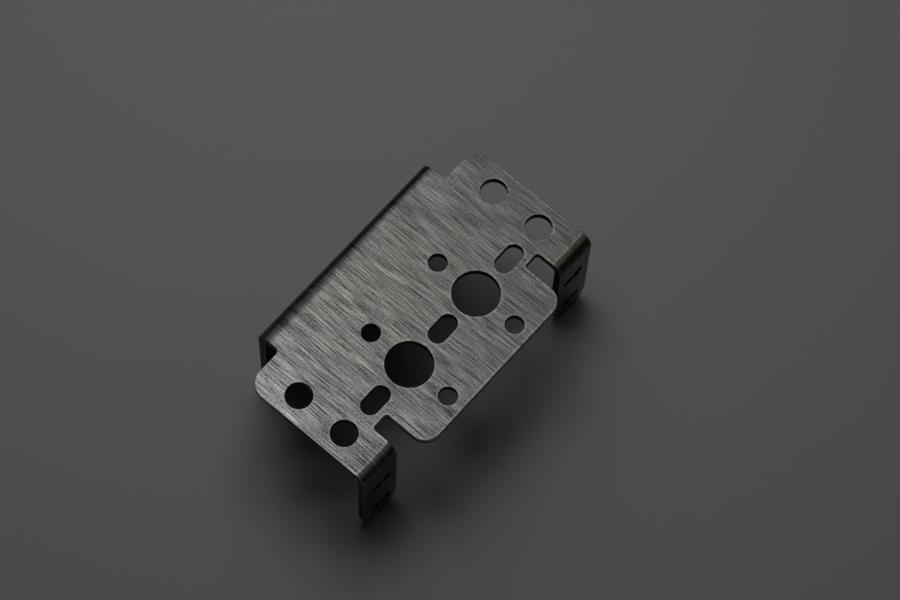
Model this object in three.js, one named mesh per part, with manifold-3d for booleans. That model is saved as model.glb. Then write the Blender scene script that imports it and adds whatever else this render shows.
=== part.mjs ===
// Folded sheet-metal servo bracket, as used for the pan or tilt joint of a camera mount.
// It is one piece: a perforated plate, with a rear flange and two front tabs folded down from it.
// A standard hobby servo lies under the plate, with its ears screwed to the two tabs.
//
// Frame: millimetres, +Z up. The origin is on the ground under the middle of the bracket's box.
// X runs along the plate, the tabs and the tongue face -Y, and the flange faces +Y.

import * as THREE from 'three';
import { mergeVertices } from 'three/addons/utils/BufferGeometryUtils.js';
import Module from 'manifold-3d';

// Overall box.
const plateLength = 58;
const depth = 34.4;
const height = 23.5;

// Sheet and folds.
const sheetThickness = 1.5;
const insideBendRadius = 0.8;
const outsideBendRadius = insideBendRadius + sheetThickness;

// Tongue at the front, with a notch on either side that frees it from the tabs.
const tongueWidth = 35.2;
const tongueCornerRadius = 3;
const notchWidth = 3.4;
const notchDepth = 5.4;
const notchCornerRadius = 0.6;

// Tabs that carry the servo's ears.
const tabWidth = (plateLength - tongueWidth) / 2 - notchWidth;
const tabSetback = 3.5;
const tabCornerRadius = 3.9;

// Rear flange, and the plate's ends, which stop short of it.
const flangeWidth = 42;
const flangeCornerRadius = 3;
const endSetback = 4.8;
const endCornerRadius = 3.2;
const stepCornerRadius = 0.8;

// Holes in the plate, on a grid whose middle is the middle slot.
const gridPitch = 8.5;
const gridToTongueEdge = 11.8;
const hubHoleDiameter = 8.3;
const screwHoleDiameter = 3.3;
const slotLength = 5.9;
const earHoleDiameter = 4.7;

// A standard servo: its ear holes, its shaft off the middle of its body, and how deep it hangs.
const earHoleSpan = 49.5;
const earHolePitch = 10;
const shaftOffset = 10;
const servoDrop = 13.7;

// Double holes in the tabs, two overlapping round lobes each, and the pivot holes in the flange.
const lobeDiameter = 2.5;
const lobeSpacing = 2.4;
const pivotHoleDiameter = 3.3;

// Flats that each arc is cut into: a whole round hole, half a slot's outline or one corner.
const arcSegments = 20;

// Places worked out from the dimensions above.
const tongueFrontY = -depth / 2;
const tabFaceY = tongueFrontY + tabSetback;
const flangeFaceY = depth / 2;
const endRearY = flangeFaceY - endSetback;
const gridY = tongueFrontY + gridToTongueEdge;
const tabCentreX = (plateLength - tabWidth) / 2;
const servoAxisZ = height - servoDrop;

const wasm = await Module();
wasm.setup();

// A closed three.js geometry as a manifold solid. Merging leaves a few triangles with two corners
// in one place, where a line meets an arc, and they are dropped.
function solidFrom(geometry) {
  geometry.deleteAttribute('normal');
  geometry.deleteAttribute('uv');
  const merged = mergeVertices(geometry);
  const triVerts = [];
  for (let i = 0; i < merged.index.count; i += 3) {
    const [a, b, c] = merged.index.array.slice(i, i + 3);
    if (a !== b && b !== c && c !== a) triVerts.push(a, b, c);
  }
  return new wasm.Manifold(new wasm.Mesh({
    numProp: 3,
    vertProperties: new Float32Array(merged.attributes.position.array),
    triVerts: new Uint32Array(triVerts),
  }));
}

// A manifold solid as a flat-shaded three.js geometry.
function geometryFrom(solid) {
  const mesh = solid.getMesh();
  const indexed = new THREE.BufferGeometry();
  indexed.setAttribute('position', new THREE.BufferAttribute(mesh.vertProperties, 3));
  indexed.setIndex(new THREE.BufferAttribute(mesh.triVerts, 1));
  const geometry = indexed.toNonIndexed();
  geometry.computeVertexNormals();
  return geometry;
}

const X = new THREE.Vector3(1, 0, 0);
const Y = new THREE.Vector3(0, 1, 0);
const Z = new THREE.Vector3(0, 0, 1);

// A shape as a solid slab, its own x and y turned onto the two named axes, from the place start.
// ExtrudeGeometry cuts each arc into twice its curveSegments.
function slab(shape, length, xAxis, yAxis, start) {
  const settings = { depth: length, bevelEnabled: false, curveSegments: arcSegments / 2 };
  const geometry = new THREE.ExtrudeGeometry(shape, settings);
  const along = new THREE.Vector3().crossVectors(xAxis, yAxis);
  geometry.applyMatrix4(new THREE.Matrix4().makeBasis(xAxis, yAxis, along));
  geometry.translate(start.x, start.y, start.z);
  return solidFrom(geometry);
}

// A closed outline through [x, y, radius] corners, each rounded by an arc of its own radius.
function roundedOutline(corners) {
  const shape = new THREE.Shape();
  corners.forEach(([x, y, radius], i) => {
    const corner = new THREE.Vector2(x, y);
    const before = new THREE.Vector2(...corners.at(i - 1)).sub(corner).normalize();
    const after = new THREE.Vector2(...corners[(i + 1) % corners.length]).sub(corner).normalize();
    const halfAngle = Math.acos(before.dot(after)) / 2;
    const arcStart = corner.clone().addScaledVector(before, radius / Math.tan(halfAngle));
    if (i === 0) shape.moveTo(arcStart.x, arcStart.y);
    else shape.lineTo(arcStart.x, arcStart.y);
    if (radius === 0) return;
    const arcEnd = corner.clone().addScaledVector(after, radius / Math.tan(halfAngle));
    const centre = before.clone().add(after).setLength(radius / Math.sin(halfAngle)).add(corner);
    const startAngle = arcStart.sub(centre).angle();
    const endAngle = arcEnd.sub(centre).angle();
    shape.absarc(centre.x, centre.y, radius, startAngle, endAngle, before.cross(after) > 0);
  });
  shape.closePath();
  return shape;
}

function roundHole(x, y, diameter) {
  const path = new THREE.Path();
  path.absarc(x, y, diameter / 2, 0, 2 * Math.PI);
  return path;
}

// A slot with round ends, lying along x.
function slotHole(x, y, length, width) {
  const reach = (length - width) / 2;
  const path = new THREE.Path();
  path.absarc(x + reach, y, width / 2, -Math.PI / 2, Math.PI / 2);
  path.absarc(x - reach, y, width / 2, Math.PI / 2, 1.5 * Math.PI);
  path.closePath();
  return path;
}

// Two overlapping round lobes side by side along x, joined at a narrow waist.
function doubleHole(x, y) {
  const radius = lobeDiameter / 2;
  const waistAngle = Math.acos(lobeSpacing / lobeDiameter);
  const path = new THREE.Path();
  path.absarc(x + lobeSpacing / 2, y, radius, waistAngle - Math.PI, Math.PI - waistAngle);
  path.absarc(x - lobeSpacing / 2, y, radius, waistAngle, 2 * Math.PI - waistAngle);
  path.closePath();
  return path;
}

// The flat part of the sheet, seen from above.
function plateShape() {
  const end = plateLength / 2;
  const tongue = tongueWidth / 2;
  const tabInner = tongue + notchWidth;
  const flange = flangeWidth / 2;
  const tabFoldY = tabFaceY + outsideBendRadius;
  const flangeFoldY = flangeFaceY - outsideBendRadius;
  const notchEndY = tabFaceY + notchDepth;
  const rightHalf = [
    [tongue, tongueFrontY, tongueCornerRadius],
    [tongue, notchEndY, notchCornerRadius],
    [tabInner, notchEndY, notchCornerRadius],
    [tabInner, tabFoldY, 0],
    [end, tabFoldY, 0],
    [end, endRearY, endCornerRadius],
    [flange, endRearY, stepCornerRadius],
    [flange, flangeFoldY, 0],
  ];
  const leftHalf = rightHalf.map(([x, y, radius]) => [-x, y, radius]).reverse();
  const shape = roundedOutline([...rightHalf, ...leftHalf]);
  shape.holes.push(...plateHoles());
  return shape;
}

function plateHoles() {
  const holes = [slotHole(0, gridY, slotLength, screwHoleDiameter)];
  for (const side of [-1, 1]) {
    const x = side * gridPitch;
    holes.push(roundHole(x, gridY, hubHoleDiameter));
    holes.push(roundHole(x, gridY - gridPitch, screwHoleDiameter));
    holes.push(roundHole(x, gridY + gridPitch, screwHoleDiameter));
    holes.push(slotHole(2 * x, gridY, slotLength, screwHoleDiameter));
    holes.push(roundHole(side * earHoleSpan / 2, gridY, earHoleDiameter));
    holes.push(roundHole(side * earHoleSpan / 2, gridY + earHolePitch, earHoleDiameter));
  }
  return holes;
}

// A leg's outline seen square on, from two rounded foot corners up past the plate's top face.
function legShape(left, right, footRadius, holes) {
  const above = height + sheetThickness;
  const shape = roundedOutline([
    [left, above, 0],
    [left, 0, footRadius],
    [right, 0, footRadius],
    [right, above, 0],
  ]);
  shape.holes.push(...holes);
  return shape;
}

// A leg's section from the side, y across and z up: a short root in the plate, the fold and the
// leg itself. Facing is 1 for a leg whose outer face looks along +Y, and -1 for the other way.
function foldShape(faceY, facing) {
  const foldY = faceY - facing * outsideBendRadius;
  const rootY = foldY - facing * sheetThickness;
  const foldZ = height - outsideBendRadius;
  const sideAngle = facing > 0 ? 0 : Math.PI;
  const shape = new THREE.Shape();
  shape.moveTo(rootY, height);
  shape.lineTo(foldY, height);
  shape.absarc(foldY, foldZ, outsideBendRadius, Math.PI / 2, sideAngle, facing > 0);
  shape.lineTo(faceY, 0);
  shape.lineTo(faceY - facing * sheetThickness, 0);
  shape.absarc(foldY, foldZ, insideBendRadius, sideAngle, Math.PI / 2, facing < 0);
  shape.lineTo(rootY, height - sheetThickness);
  shape.closePath();
  return shape;
}

function plate() {
  return slab(plateShape(), sheetThickness, X, Y, new THREE.Vector3(0, 0, height - sheetThickness));
}

// A leg is the folded section run along the whole plate, cut to the leg's outline.
function leg(faceY, facing, shape) {
  const leftEnd = new THREE.Vector3(-plateLength / 2, 0, 0);
  const fold = slab(foldShape(faceY, facing), plateLength, Y, Z, leftEnd);
  const outline = slab(shape, depth, X, Z, new THREE.Vector3(0, depth / 2, 0));
  return fold.intersect(outline);
}

function tab(side) {
  const x = side * tabCentreX;
  const holes = [-1, 1].map((level) => (
    doubleHole(side * earHoleSpan / 2, servoAxisZ + level * earHolePitch / 2)
  ));
  return leg(tabFaceY, -1, legShape(x - tabWidth / 2, x + tabWidth / 2, tabCornerRadius, holes));
}

function flange() {
  const holes = [-1, 1].map((side) => roundHole(side * shaftOffset, servoAxisZ, pivotHoleDiameter));
  return leg(flangeFaceY, 1, legShape(-flangeWidth / 2, flangeWidth / 2, flangeCornerRadius, holes));
}

function servoBracket() {
  const solid = plate().add(flange()).add(tab(-1)).add(tab(1));
  const finish = { color: 0x4a4946, roughness: 0.42, metalness: 0.9 };
  const mesh = new THREE.Mesh(geometryFrom(solid), new THREE.MeshStandardMaterial(finish));
  mesh.name = 'servo_bracket';
  return mesh;
}

const bracket = new THREE.Group();
bracket.add(servoBracket());

export default bracket;
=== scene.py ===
"""Looks of the servo bracket: one folded sheet of brushed, black anodised aluminium.

The sheet is cut out flat, with its rims rounded, and the flange and the tabs are then folded
down. Sizes below are in millimetres, and the mesh is scaled to metres at the end.
A flat place is (x, s): s is the distance across the unfolded sheet, and equals Y on the plate.
"""

from math import acos, cos, pi, radians, sin, tan

import bmesh
import bpy
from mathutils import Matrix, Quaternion, Vector
from mathutils.geometry import delaunay_2d_cdt


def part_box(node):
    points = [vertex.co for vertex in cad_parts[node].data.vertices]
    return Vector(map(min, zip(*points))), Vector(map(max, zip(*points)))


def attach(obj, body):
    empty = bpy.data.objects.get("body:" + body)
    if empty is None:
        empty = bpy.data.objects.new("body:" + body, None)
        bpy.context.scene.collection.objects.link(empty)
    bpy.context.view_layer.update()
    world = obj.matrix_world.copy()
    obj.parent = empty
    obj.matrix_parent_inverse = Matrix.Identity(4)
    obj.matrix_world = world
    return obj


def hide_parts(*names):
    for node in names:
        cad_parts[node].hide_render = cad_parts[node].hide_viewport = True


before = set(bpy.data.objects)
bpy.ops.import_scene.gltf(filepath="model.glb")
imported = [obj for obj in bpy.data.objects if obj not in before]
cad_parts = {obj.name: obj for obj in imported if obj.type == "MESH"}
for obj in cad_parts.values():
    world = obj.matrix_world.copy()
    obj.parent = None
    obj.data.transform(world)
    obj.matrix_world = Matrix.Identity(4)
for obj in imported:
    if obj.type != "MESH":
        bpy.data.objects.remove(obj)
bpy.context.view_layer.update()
LOW, HIGH = (corner * 1000 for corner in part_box("servo_bracket"))

# Sheet and folds. The overall box comes from the frame.
THICKNESS = 1.5
INSIDE_RADIUS = 0.8
OUTSIDE_RADIUS = INSIDE_RADIUS + THICKNESS
FOLD_LENGTH = OUTSIDE_RADIUS * pi / 2
TOP = HIGH.z
LEG_LENGTH = TOP - OUTSIDE_RADIUS
END = HIGH.x
TONGUE_FRONT = LOW.y
FLANGE_FACE = HIGH.y

# Tongue, notches and tabs.
TONGUE_SIDE = 17.6
TONGUE_CORNER = 3
NOTCH_WIDTH = 3.4
NOTCH_DEPTH = 5.4
NOTCH_CORNER = 0.6
TAB_SETBACK = 3.5
TAB_CORNER = 3.9
TAB_FACE = TONGUE_FRONT + TAB_SETBACK
TAB_INNER = TONGUE_SIDE + NOTCH_WIDTH
FRONT_FOLD = TAB_FACE + OUTSIDE_RADIUS

# Flange, and the plate's ends, which stop short of it.
FLANGE_SIDE = 21
FLANGE_CORNER = 3
END_SETBACK = 4.8
END_CORNER = 3.2
STEP_CORNER = 0.8
END_REAR = FLANGE_FACE - END_SETBACK
REAR_FOLD = FLANGE_FACE - OUTSIDE_RADIUS

# Holes in the plate, on a grid whose middle is the middle slot.
PITCH = 8.5
GRID_TO_TONGUE_EDGE = 11.8
GRID_Y = TONGUE_FRONT + GRID_TO_TONGUE_EDGE
HUB_DIAMETER = 8.3
SCREW_DIAMETER = 3.3
SLOT_LENGTH = 5.9
EAR_DIAMETER = 4.7

# A standard servo: its ear holes, its shaft off the middle of its body, and how deep it hangs.
EAR_SPAN = 49.5
EAR_PITCH = 10
SHAFT_OFFSET = 10
SERVO_DROP = 13.7
SERVO_AXIS_Z = TOP - SERVO_DROP

# Double holes in the tabs.
LOBE_DIAMETER = 2.5
LOBE_SPACING = 2.4

# Rims: rolled over by the punch on the top face, nearly sharp underneath, and chipped to uncoated
# metal along both, with a painted highlight there too.
ROLL_WIDTH = 0.08
ROLL_DEPTH = 0.06
BOTTOM_RIM = 0.05
# Band of the top face over which the uncoated metal and its painted highlight fade in.
BARE_AND_GLINT_BAND = 0.5

# Flats that each curve is cut into.
CORNER_STEPS = 14
ROUND_HOLE_STEPS = 64
SLOT_END_STEPS = 24
LOBE_STEPS = 30
ROLL_STEPS = 6
FOLD_STEPS = 14

# Places on the flat sheet: a painted sheen is brightest at the rear of the left end.
SHEEN_CORNER = (-26, 10, 0)
PLATE_MIDDLE = (0, 8, 0)

# Colours of the metal. The hues are tints that the anodised face is multiplied by.
LINE_DARK = (0.035, 0.034, 0.033, 1)
LINE_MIDDLE = (0.155, 0.152, 0.147, 1)
LINE_LIGHT = (0.3, 0.296, 0.288, 1)
COOL_HUE = (0.97, 1.0, 1.04, 1)
WARM_HUE = (1.05, 1.0, 0.94, 1)
# Violet tint of the painted sheen at the rear of the left end.
SHEEN_HUE = (0.99, 0.965, 1.05, 1)
TAB_HUE = (1.14, 0.97, 0.97, 1)
SHEAR_DARK = (0.03, 0.029, 0.028, 1)
SHEAR_LIGHT = (0.08, 0.078, 0.075, 1)
# Tab cut walls: nearly black painted shade inside the holes and on the inner walls, lighter on the
# outer end walls.
TAB_WALL_SHADE = (0.008, 0.0075, 0.008, 1)
TAB_WALL_OUTER = (0.062, 0.056, 0.059, 1)
# Uncoated metal on the rims, partly real chipping and partly a painted highlight, brightest below the
# roll of the edge.
BARE_AND_HIGHLIGHT = (0.34, 0.336, 0.328, 1)
RIM_HIGHLIGHT = (0.85, 0.84, 0.82, 1)
# Painted highlight on the plate's front and left cut walls.
WALL_HIGHLIGHT = (0.9, 0.885, 0.86, 1)

# The floor's grain, between two pale greys.
FLOOR_DARK = (0.545, 0.54, 0.575, 1)
FLOOR_LIGHT = (0.565, 0.56, 0.595, 1)

# Camera and stage, in metres and degrees.
CAMERA_AZIMUTH = -52.62
CAMERA_ELEVATION = 67.52
CAMERA_ROLL = 3.82
CAMERA_DISTANCE = 0.5121
CAMERA_AIM = (0.0047, -0.0029, TOP / 1000)
SENSOR_MM = 36
FOCAL_LENGTH_MM = 122.28
LAMP_DISTANCE = 0.3
FLOOR_SIZE = 3.0


def fan(centre, radius, start, end, steps):
    """Points of an arc, both of its ends included."""
    turn = [start + (end - start) * i / steps for i in range(steps + 1)]
    return [(centre[0] + radius * cos(a), centre[1] + radius * sin(a)) for a in turn]


def rounded_corner(before, corner, after, radius, inset):
    """The arc at one corner of an anticlockwise outline, moved in by inset."""
    at, back, on = (Vector(p[:2]) for p in (corner, before, after))
    back, on = (back - at).normalized(), (on - at).normalized()
    half = acos(back.dot(on)) / 2
    centre = at + (back + on).normalized() * radius / sin(half)
    turn = 1 if on.cross(back) > 0 else -1
    start = (at + back * radius / tan(half)) - centre
    end = (at + on * radius / tan(half)) - centre
    angle = Vector((1, 0)).angle_signed(start) * -1
    sweep = start.angle(end) * turn
    return fan(centre, radius - turn * inset, angle, angle + sweep, CORNER_STEPS)


def outline(inset):
    """The flat sheet's outline, anticlockwise, moved into the metal by inset."""
    tab_foot = FRONT_FOLD - FOLD_LENGTH - LEG_LENGTH
    flange_foot = REAR_FOLD + FOLD_LENGTH + LEG_LENGTH
    right = [
        (TONGUE_SIDE, TONGUE_FRONT, TONGUE_CORNER),
        (TONGUE_SIDE, TAB_FACE + NOTCH_DEPTH, NOTCH_CORNER),
        (TAB_INNER, TAB_FACE + NOTCH_DEPTH, NOTCH_CORNER),
        (TAB_INNER, tab_foot, TAB_CORNER),
        (END, tab_foot, TAB_CORNER),
        (END, END_REAR, END_CORNER),
        (FLANGE_SIDE, END_REAR, STEP_CORNER),
        (FLANGE_SIDE, flange_foot, FLANGE_CORNER),
    ]
    corners = right + [(-x, s, r) for x, s, r in reversed(right)]
    points = []
    for i, corner in enumerate(corners):
        after = corners[(i + 1) % len(corners)]
        points += rounded_corner(corners[i - 1], corner, after, corner[2], inset)
    return points


def round_hole(x, s, diameter):
    """A hole is a function that gives its loop, moved into the metal by inset."""
    return lambda inset: fan((x, s), diameter / 2 + inset, 0, 2 * pi, ROUND_HOLE_STEPS)[:-1]


def slot(x, s):
    """A slot with round ends, lying along x."""
    reach = (SLOT_LENGTH - SCREW_DIAMETER) / 2

    def loop(inset):
        radius = SCREW_DIAMETER / 2 + inset
        right = fan((x + reach, s), radius, -pi / 2, pi / 2, SLOT_END_STEPS)
        return right + fan((x - reach, s), radius, pi / 2, 1.5 * pi, SLOT_END_STEPS)

    return loop


def double_hole(x, s):
    """Two round lobes that meet at a narrow waist."""

    def loop(inset):
        radius = LOBE_DIAMETER / 2 + inset
        waist = acos(LOBE_SPACING / 2 / radius)
        right = fan((x + LOBE_SPACING / 2, s), radius, waist - pi, pi - waist, LOBE_STEPS)
        left = fan((x - LOBE_SPACING / 2, s), radius, waist, 2 * pi - waist, LOBE_STEPS)
        return right[:-1] + left[:-1]

    return loop


def plate_holes():
    """Hub, screw and ear holes and slots, mirrored about the middle slot."""
    holes = [slot(0, GRID_Y)]
    for side in (-1, 1):
        x = side * PITCH
        holes.append(round_hole(x, GRID_Y, HUB_DIAMETER))
        holes.append(round_hole(x, GRID_Y - PITCH, SCREW_DIAMETER))
        holes.append(round_hole(x, GRID_Y + PITCH, SCREW_DIAMETER))
        holes.append(slot(2 * x, GRID_Y))
        holes.append(round_hole(side * EAR_SPAN / 2, GRID_Y, EAR_DIAMETER))
        holes.append(round_hole(side * EAR_SPAN / 2, GRID_Y + EAR_PITCH, EAR_DIAMETER))
    return holes


def leg_holes():
    """Holes in the tabs and the flange, at their places on the unfolded sheet."""
    down = FOLD_LENGTH + LEG_LENGTH - SERVO_AXIS_Z
    holes = []
    for side in (-1, 1):
        holes.append(round_hole(side * SHAFT_OFFSET, REAR_FOLD + down, SCREW_DIAMETER))
        for level in (-1, 1):
            s = FRONT_FOLD - down + level * EAR_PITCH / 2
            holes.append(double_hole(side * EAR_SPAN / 2, s))
    return holes


def rim_section():
    """(distance in from the cut, depth below the top face) round the sheet's edge."""
    turns = [pi / 2 * i / ROLL_STEPS for i in range(ROLL_STEPS + 1)]
    roll = [(ROLL_WIDTH * (1 - sin(a)), ROLL_DEPTH * (1 - cos(a))) for a in turns]
    deep = THICKNESS - BOTTOM_RIM
    low = [(BOTTOM_RIM * (1 - cos(a)), deep + BOTTOM_RIM * sin(a)) for a in turns[::ROLL_STEPS // 2]]
    return [(BARE_AND_GLINT_BAND, 0), *roll, *low, (BARE_AND_GLINT_BAND, THICKNESS)]


def on_tab(x, s):
    return s < FRONT_FOLD and abs(x) > TONGUE_SIDE + NOTCH_WIDTH / 2


def edge_wear_and_highlight(x, s):
    """The outline is chipped to uncoated metal, with a painted highlight, all round the plate, and not
    on the tabs.
    """
    return 0.0 if on_tab(x, s) else 1.0


def hole_wear_and_glint(x, s):
    """The holes are partly chipped to uncoated metal, with a painted highlight, and the tabs' own ones
    more so.
    """
    return 0.55 if s > TONGUE_FRONT else 0.8


def add_rim(bm, loop, bareness_and_glint):
    """The rings of one cut edge, marked for uncoated metal and its painted highlight between the outer
    two, which lie on the sheet's two faces.
    Returns the ring on the top face and the one underneath."""
    rim_wear_and_glint = bm.verts.layers.float["rim_wear_and_glint"]
    rings = [[bm.verts.new((*p, -deep)) for p in loop(inset)] for inset, deep in rim_section()]
    for ring in rings[1:-1]:
        for v in ring:
            v[rim_wear_and_glint] = bareness_and_glint(*v.co.xy)
    for upper, lower in zip(rings, rings[1:]):
        for i in range(len(upper)):
            bm.faces.new((upper[i - 1], upper[i], lower[i], lower[i - 1]))
    return rings[0], rings[-1]


def inside(point, edges):
    """Whether a line from the point crosses the edges an odd number of times."""
    x, y = point
    hits = 0
    for a, b in edges:
        if (a.y > y) != (b.y > y) and x < a.x + (y - a.y) / (b.y - a.y) * (b.x - a.x):
            hits += 1
    return hits % 2 == 1


def fill(bm, rings):
    """Closes the flat face between an outline's ring and its holes' rings."""
    verts = [v for ring in rings for v in ring]
    flat = [v.co.xy for v in verts]
    pairs, start = [], 0
    for ring in rings:
        n = len(ring)
        pairs += [(start + i, start + (i + 1) % n) for i in range(n)]
        start += n
    edges = [(flat[a], flat[b]) for a, b in pairs]
    for face in delaunay_2d_cdt(flat, pairs, [], 0, 1e-7)[2]:
        middle = sum((flat[i] for i in face), Vector((0, 0))) / 3
        if inside(middle, edges):
            bm.faces.new([verts[i] for i in face])


def cut_fold_lines(bm):
    """Adds the lines across the sheet along which each fold is bent."""
    for step in range(FOLD_STEPS + 1):
        part = FOLD_LENGTH * step / FOLD_STEPS
        for s in (REAR_FOLD + part, FRONT_FOLD - part):
            everything = [*bm.verts, *bm.edges, *bm.faces]
            bmesh.ops.bisect_plane(
                bm, geom=everything, dist=1e-5, plane_co=(0, s, 0), plane_no=(0, 1, 0)
            )


def folded(place):
    """Where a place on the flat sheet goes once the sheet is folded, in millimetres."""
    x, s, z = place
    facing = 1 if s > REAR_FOLD else -1 if on_tab(x, s) else 0
    if facing == 0:
        return Vector((x, s, TOP + z))
    fold = REAR_FOLD if facing > 0 else FRONT_FOLD
    past = facing * (s - fold)
    turn = min(past / OUTSIDE_RADIUS, pi / 2)
    reach = OUTSIDE_RADIUS + z
    down = max(0, past - FOLD_LENGTH)
    y = fold + facing * reach * sin(turn)
    return Vector((x, y, TOP - OUTSIDE_RADIUS + reach * cos(turn) - down))


def store(mesh, name, kind, key, values):
    """Keeps one value a point with the mesh, for its material."""
    mesh.attributes.new(name, kind, "POINT").data.foreach_set(key, values)


def flat_sheet():
    """The unfolded sheet, its rims rounded and cut along its fold lines."""
    bm = bmesh.new()
    bm.verts.layers.float.new("rim_wear_and_glint")
    rims = [add_rim(bm, outline, edge_wear_and_highlight)]
    rims += [add_rim(bm, loop, hole_wear_and_glint) for loop in (*plate_holes(), *leg_holes())]
    tops, bottoms = zip(*rims)
    fill(bm, tops)
    fill(bm, bottoms)
    cut_fold_lines(bm)
    bmesh.ops.recalc_face_normals(bm, faces=bm.faces)
    return bm


def bracket_mesh():
    """The folded sheet in metres, which keeps its flat places, and its rims' share of uncoated metal
    and painted highlight, for the material.
    """
    bm = flat_sheet()
    mesh = bpy.data.meshes.new("servo_bracket_sheet")
    bm.to_mesh(mesh)
    bm.free()
    flat = [c for v in mesh.vertices for c in v.co]
    store(mesh, "flat_mm", "FLOAT_VECTOR", "vector", flat)
    for v in mesh.vertices:
        v.co = folded(v.co) / 1000
    mesh.shade_smooth()
    return mesh


class Graph:
    """A material's node tree, built by short calls."""

    def __init__(self, name):
        self.material = bpy.data.materials.new(name)
        self.material.use_nodes = True
        self.tree = self.material.node_tree
        self.shader = self.tree.nodes["Principled BSDF"]

    def add(self, kind, links=(), **settings):
        """A node, its settings, and its inputs by name or number: a socket or a value."""
        node = self.tree.nodes.new("ShaderNode" + kind)
        for key, value in settings.items():
            setattr(node, key, value)
        self.feed(node, links)
        return node

    def feed(self, node, links):
        for key, value in dict(links).items():
            if isinstance(value, bpy.types.NodeSocket):
                self.tree.links.new(value, node.inputs[key])
            else:
                node.inputs[key].default_value = value

    def noise(self, place, scale, detail=2.0, rough=0.5, turn=0.0):
        """Noise stretched by a scale for each axis, in cycles a millimetre."""
        mapping = self.add("Mapping", {0: place, "Scale": scale, "Rotation": (0, 0, turn)})
        links = {"Vector": mapping.outputs[0], "Scale": 1.0, "Detail": detail, "Roughness": rough}
        return self.add("TexNoise", links).outputs[0]

    def span(self, value, low, high, to_low, to_high):
        """The value's range low to high stretched to another, and held at its ends."""
        links = {0: value, 1: low, 2: high, 3: to_low, 4: to_high}
        return self.add("MapRange", links).outputs[0]

    def math(self, operation, *values):
        return self.add("Math", dict(enumerate(values)), operation=operation).outputs[0]

    def weighted(self, layers):
        """The sum of some values, each times its own weight."""
        parts = [self.math("MULTIPLY", value, weight) for weight, value in layers]
        total = parts[0]
        for part in parts[1:]:
            total = self.math("ADD", total, part)
        return total

    def mix(self, share, a, b, blend="MIX"):
        links = {0: share, 6: a, 7: b}
        return self.add("Mix", links, data_type="RGBA", blend_type=blend).outputs[2]


def brush_lines(g, place):
    """Height of the brushing from 0 to 1: fine lines across the plate, over broader ones."""
    layers = [
        (0.56, g.noise(place, (7.4, 0.15, 2), 0.0, 0.5, radians(0.8))),
        (0.3, g.noise(place, (5.2, 0.28, 2.6), 0.0, 0.5, radians(-1.0))),
        (0.04, g.noise(place, (2.4, 0.12, 1.7), 0.5, 0.5, radians(0.5))),
        (0.3, g.noise(place, (6.4, 2.2, 3.1), 0.0, 0.5)),
    ]
    return g.weighted(layers)


def distance(g, place, point):
    """Distance from a point of the flat sheet, in millimetres."""
    return g.add("VectorMath", {0: place, 1: point}, operation="DISTANCE").outputs["Value"]


def painted_light_and_bundles(g, place):
    """How light the face is: lighter in random bundles of lines, with painted light and shade on top:
    a painted highlight at the left edge, painted light fading from the left end to the right and from
    the rear to the front, painted shade on the flange and along the start of the rear fold, and a
    painted sheen at the rear of the left end.
    """
    x, s, _ = g.add("SeparateXYZ", {0: place}).outputs
    bundles = g.span(g.noise(place, (0.55, 0.12, 1.3), 1.0, 0.5), 0.4, 0.66, 0.94, 1.16)
    # Painted highlight along the left end's edge, and painted light fading from left to right.
    edge = g.span(x, 0.5 - END, 1.4 - END, 1.25, 1.0)
    across = g.math("MULTIPLY", g.span(x, -END, END, 1.14, 0.84), edge)
    # Painted light to the rear, painted shade at the front, and painted shade on the flange.
    plate = g.span(s, TONGUE_FRONT, REAR_FOLD, 0.82, 1.1)
    back = g.math("MULTIPLY", plate, g.span(s, REAR_FOLD + 0.6, REAR_FOLD + 1.3, 1.0, 0.8))
    # Painted shade along the start of the rear fold.
    back = g.math("MULTIPLY", back, painted_fold_shade(g, x, s))
    # Painted sheen round the rear of the left end.
    painted_sheen = g.span(distance(g, place, SHEEN_CORNER), 2, 9, 1.26, 1.0)
    return g.math("MULTIPLY", g.math("MULTIPLY", across, back), g.math("MULTIPLY", bundles, painted_sheen))


def painted_fold_shade(g, x, s):
    """Painted shade along the start of the rear fold, over its left half."""
    painted_share = g.span(x, -10, 9, 0.68, 0.0)
    rise = g.span(s, REAR_FOLD - 0.8, REAR_FOLD - 0.05, 0.0, 1.0)
    fall = g.span(s, REAR_FOLD + 0.4, REAR_FOLD + 1.3, 1.0, 0.2)
    return g.math("SUBTRACT", 1.0, g.math("MULTIPLY", painted_share, g.math("MULTIPLY", rise, fall)))


def drop(g, place):
    """How far below the plate's top face the tabs and their folds are, in millimetres."""
    height = g.add("SeparateXYZ", {0: g.add("NewGeometry").outputs["Position"]}).outputs[2]
    below = g.math("MULTIPLY_ADD", height, -1000.0, TOP)
    s = g.add("SeparateXYZ", {0: place}).outputs[1]
    return g.math("MULTIPLY", below, g.span(s, FRONT_FOLD, FRONT_FOLD + 0.5, 1.0, 0.0))


def tab_share(g, place):
    """0 on the plate, and 1 on the tabs from the foot of their fold down."""
    return g.span(drop(g, place), 0.2, OUTSIDE_RADIUS, 0.0, 1.0)


def painted_fold_highlight(g, place):
    """1 along the upper part of the tabs' folds, where a painted highlight and a warm painted
    reflection lie.
    """
    below = drop(g, place)
    return g.math("MULTIPLY", g.span(below, 0.0, 0.03, 0, 1), g.span(below, 0.35, 1.0, 1, 0))


def face_lines(g, place, brush, tab, fold_highlight):
    """The brushing's dark and light lines, weaker to the right, on the folds and on the tabs."""
    lined = g.mix(g.span(brush, 0.45, 0.75, 0.0, 1.0), LINE_DARK, LINE_LIGHT)
    x = g.add("SeparateXYZ", {0: place}).outputs[0]
    lining = g.math("MULTIPLY", g.span(x, -END, END, 1.06, 0.56), g.span(fold_highlight, 0, 1, 1, 0.5))
    lining = g.math("MULTIPLY", lining, g.span(tab, 0, 0.5, 1, 0.45))
    return g.mix(lining, LINE_MIDDLE, lined)


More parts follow.
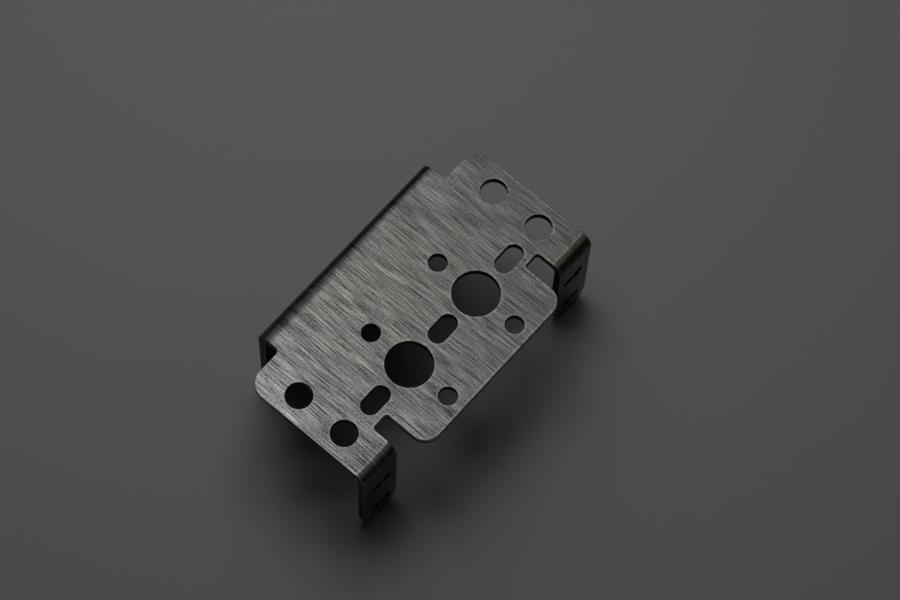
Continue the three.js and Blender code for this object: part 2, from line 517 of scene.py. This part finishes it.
def face_shade(g, place, tab, fold_highlight):
    """How light the face is, with painted light and shade: painted shade on the tabs, deeper on the
    right one, a painted highlight on their creases, and painted light towards their feet.
    """
    x = g.add("SeparateXYZ", {0: place}).outputs[0]
    # Painted shade on the tabs, deeper on the right one, and a painted highlight along their creases.
    tab_shade = g.span(x, -END, END, 0.43, 0.31)
    bend = g.math("MULTIPLY", g.span(tab, 0, 1, 1, tab_shade), g.span(fold_highlight, 0, 1, 1, 3.3))
    # Painted light growing towards the tabs' feet.
    foot = g.span(drop(g, place), TOP / 2, TOP, 1.0, 4.5)
    shade = g.math("MULTIPLY", painted_light_and_bundles(g, place), g.math("MULTIPLY", bend, foot))
    return g.add("CombineColor", {0: shade, 1: shade, 2: shade}).outputs[0]


def face_hue(g, place, tab, fold_highlight):
    """A faint tint: warm in patches and in the middle, warm as a painted reflection on the tabs'
    creases, violet in the painted sheen at the rear of the left end, red on the tabs.
    """
    middle = distance(g, place, PLATE_MIDDLE)
    patches = g.span(g.noise(place, (0.16, 0.3, 1), 2.0), 0.36, 0.64, -0.25, 0.25)
    # The tabs' creases get a warm painted reflection.
    warmth = g.math("ADD", g.span(middle, 8, 24, 0.7, 0.3), g.math("ADD", patches, fold_highlight))
    hue = g.mix(warmth, COOL_HUE, WARM_HUE)
    hue = g.mix(g.span(distance(g, place, SHEEN_CORNER), 3, 8, 0.8, 0), hue, SHEEN_HUE)
    return g.mix(tab, hue, TAB_HUE)


def anodised_face(g, place, brush):
    """Colour of the sheet's two faces and its folds."""
    tab, fold_highlight = tab_share(g, place), painted_fold_highlight(g, place)
    lines = face_lines(g, place, brush, tab, fold_highlight)
    face = g.mix(1.0, lines, face_shade(g, place, tab, fold_highlight), "MULTIPLY")
    return g.mix(1.0, face, face_hue(g, place, tab, fold_highlight), "MULTIPLY")


def painted_wall_highlight(g, place):
    """Share of the painted highlight on the plate's front and left cut walls, most of all near the top
    face.
    """
    x, s, depth = g.add("SeparateXYZ", {0: place}).outputs
    rim_wear_and_glint = g.add("Attribute", attribute_name="rim_wear_and_glint").outputs["Fac"]
    left = g.span(x, TONGUE_SIDE + 0.2, TAB_INNER - 0.2, 1.0, 0.0)
    plate = g.math("MULTIPLY", left, g.span(s, END_REAR - 3, END_REAR - 0.2, 1.0, 0.0))
    painted_share = g.math("MULTIPLY", plate, g.span(rim_wear_and_glint, 0.85, 0.95, 0.0, 1.0))
    return g.math("MULTIPLY", painted_share, g.span(depth, 0.4 - THICKNESS, -0.35, 0.0, 1.0))


def cut_wall(g, place):
    """Where the sheet's cut edges are, and the colour of their sheared metal, with a painted highlight
    on the plate's front and left walls and painted shade on the tabs' walls, lighter at their outer
    ends.
    """
    x, _, depth = g.add("SeparateXYZ", {0: place}).outputs
    above = g.span(depth, -0.3, -0.12, 1.0, 0.0)
    below = g.span(depth, BOTTOM_RIM - THICKNESS, 0.2 - THICKNESS, 0.0, 1.0)
    shear = g.span(g.noise(place, (2.4, 2.4, 0.35), 3.0, 0.6), 0.35, 0.65, 0.0, 1.0)
    sheared = g.mix(shear, SHEAR_DARK, SHEAR_LIGHT)
    # Painted highlight on the plate's front and left walls.
    sheared = g.mix(painted_wall_highlight(g, place), sheared, WALL_HIGHLIGHT)
    outer = g.span(g.math("ABSOLUTE", x), END - 0.5, END - 0.2, 0.0, 1.0)
    # Nearly black painted shade on the tabs' walls, lighter at their outer ends.
    shaded_tab_wall = g.mix(outer, TAB_WALL_SHADE, TAB_WALL_OUTER)
    color = g.mix(tab_share(g, place), sheared, shaded_tab_wall)
    return g.math("MULTIPLY", above, below), color


def bare_rim_and_highlight(g, place):
    """Share of uncoated metal along the rims, in small breaks, with a painted highlight laid there
    too, less towards the rear.
    """
    rim_wear_and_glint = g.add("Attribute", attribute_name="rim_wear_and_glint").outputs["Fac"]
    chips = g.span(g.noise(place, (1.3, 1.3, 1.3), 3.0, 0.7), 0.42, 0.62, 0.1, 0.95)
    bare_and_glint_share = g.math("MULTIPLY", g.span(rim_wear_and_glint, 0.0, 0.8, 0.0, 1.0), chips)
    s = g.add("SeparateXYZ", {0: place}).outputs[1]
    # Less painted highlight towards the rear.
    return g.math("MULTIPLY", bare_and_glint_share, g.span(s, GRID_Y, END_REAR, 1.0, 0.35))


def rim_bare_and_highlight(g, place):
    """The colour of the rims: uncoated metal with a painted highlight, brightest below the roll of the
    edge.
    """
    depth = g.add("SeparateXYZ", {0: place}).outputs[2]
    rim_highlight_share = g.span(depth, -0.14, -0.03, 1.0, 0.0)
    return g.mix(rim_highlight_share, BARE_AND_HIGHLIGHT, RIM_HIGHLIGHT)


def anodised_metal():
    """Brushed across the plate, black anodised, with uncoated metal and painted highlights along the
    rims, and painted light and shade on the faces and cut walls.
    """
    g = Graph("brushed_black_anodised")
    place = g.add("Attribute", attribute_name="flat_mm").outputs["Vector"]
    brush = brush_lines(g, place)
    wall, wall_color = cut_wall(g, place)
    color = g.mix(bare_rim_and_highlight(g, place), anodised_face(g, place, brush), rim_bare_and_highlight(g, place))
    color = g.mix(wall, color, wall_color)
    satin = g.span(g.noise(place, (0.9, 0.12, 1), 3.0, 0.6), 0.35, 0.65, 0.29, 0.4)
    rough = g.add("Mix", {0: wall, 2: satin, 3: 0.55}).outputs[0]
    bump = g.add("Bump", {"Strength": 0.35, "Distance": 0.00005, "Height": brush})
    g.feed(g.shader, {"Base Color": color, "Metallic": 1.0, "Roughness": rough})
    g.feed(g.shader, {"Normal": bump.outputs[0]})
    return g.material


def bracket():
    """The sheet that stands for the CAD's bracket."""
    piece = bpy.data.objects.new("servo_bracket_sheet", bracket_mesh())
    bpy.context.scene.collection.objects.link(piece)
    piece.data.materials.append(anodised_metal())
    piece.modifiers.new("flat_faces", "WEIGHTED_NORMAL").weight = 80
    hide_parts("servo_bracket")
    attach(piece, "root")


def floor():
    """A plain pale floor, which doesn't belong to the part."""
    bpy.ops.mesh.primitive_plane_add(size=FLOOR_SIZE, location=(0, 0, 0))
    plane = bpy.context.object
    plane.name = "floor"
    g = Graph("pale_floor")
    place = g.add("NewGeometry").outputs["Position"]
    grain = g.noise(place, (900, 900, 900), 3.0)
    color = g.mix(grain, FLOOR_DARK, FLOOR_LIGHT)
    g.feed(g.shader, {"Base Color": color, "Roughness": 0.85, "Specular IOR Level": 0.2})
    plane.data.materials.append(g.material)


def softbox(name, azimuth, elevation, size, watts, color=(1, 1, 1)):
    """A lamp aimed at the bracket, its azimuth turned from +X towards +Y, in degrees. Size and watts
    are those of a lamp 1 m away, and are scaled to the nearer place where it stands."""
    turn, rise = radians(azimuth), radians(elevation)
    towards = Vector((cos(rise) * cos(turn), cos(rise) * sin(turn), sin(rise)))
    light = bpy.data.lights.new(name, "AREA")
    light.shape = "RECTANGLE"
    light.size, light.size_y = (side * LAMP_DISTANCE for side in size)
    light.energy = watts * LAMP_DISTANCE**2
    light.color = color
    lamp = bpy.data.objects.new(name, light)
    bpy.context.scene.collection.objects.link(lamp)
    lamp.location = towards * LAMP_DISTANCE
    lamp.rotation_euler = towards.to_track_quat("Z", "Y").to_euler()


def studio():
    """A large key high up behind, a lower one beside it, a low strip and a dim, warm front card."""
    softbox("key_softbox", 52, 73, (0.57, 0.47), 1.25)
    softbox("side_softbox", 55, 45, (0.7, 0.33), 0.37)
    softbox("low_strip", 90, 12, (0.33, 0.17), 0.025)
    softbox("front_card", -58, 52, (0.5, 0.5), 0.065, (1, 0.93, 0.78))
    world = bpy.data.worlds.new("studio")
    bpy.context.scene.world = world
    world.use_nodes = True
    background = world.node_tree.nodes["Background"]
    background.inputs["Color"].default_value = (0.9, 0.93, 1.0, 1)
    background.inputs["Strength"].default_value = 0.005


def camera():
    """A long lens, looking down from above the left front corner."""
    azimuth, elevation = radians(CAMERA_AZIMUTH), radians(CAMERA_ELEVATION)
    flat = cos(elevation)
    back = Vector((sin(azimuth) * flat, -cos(azimuth) * flat, sin(elevation)))
    upright = (-back).to_track_quat("-Z", "Y")
    data = bpy.data.cameras.new("camera")
    data.sensor_width = SENSOR_MM
    data.lens = FOCAL_LENGTH_MM
    data.clip_start, data.clip_end = 0.01, 20
    view = bpy.data.objects.new("camera", data)
    bpy.context.scene.collection.objects.link(view)
    view.location = Vector(CAMERA_AIM) + back * CAMERA_DISTANCE
    view.rotation_mode = "QUATERNION"
    view.rotation_quaternion = upright @ Quaternion((0, 0, 1), radians(CAMERA_ROLL))
    bpy.context.scene.camera = view


bpy.context.scene.view_settings.view_transform = "Standard"
bracket()
floor()
studio()
camera()
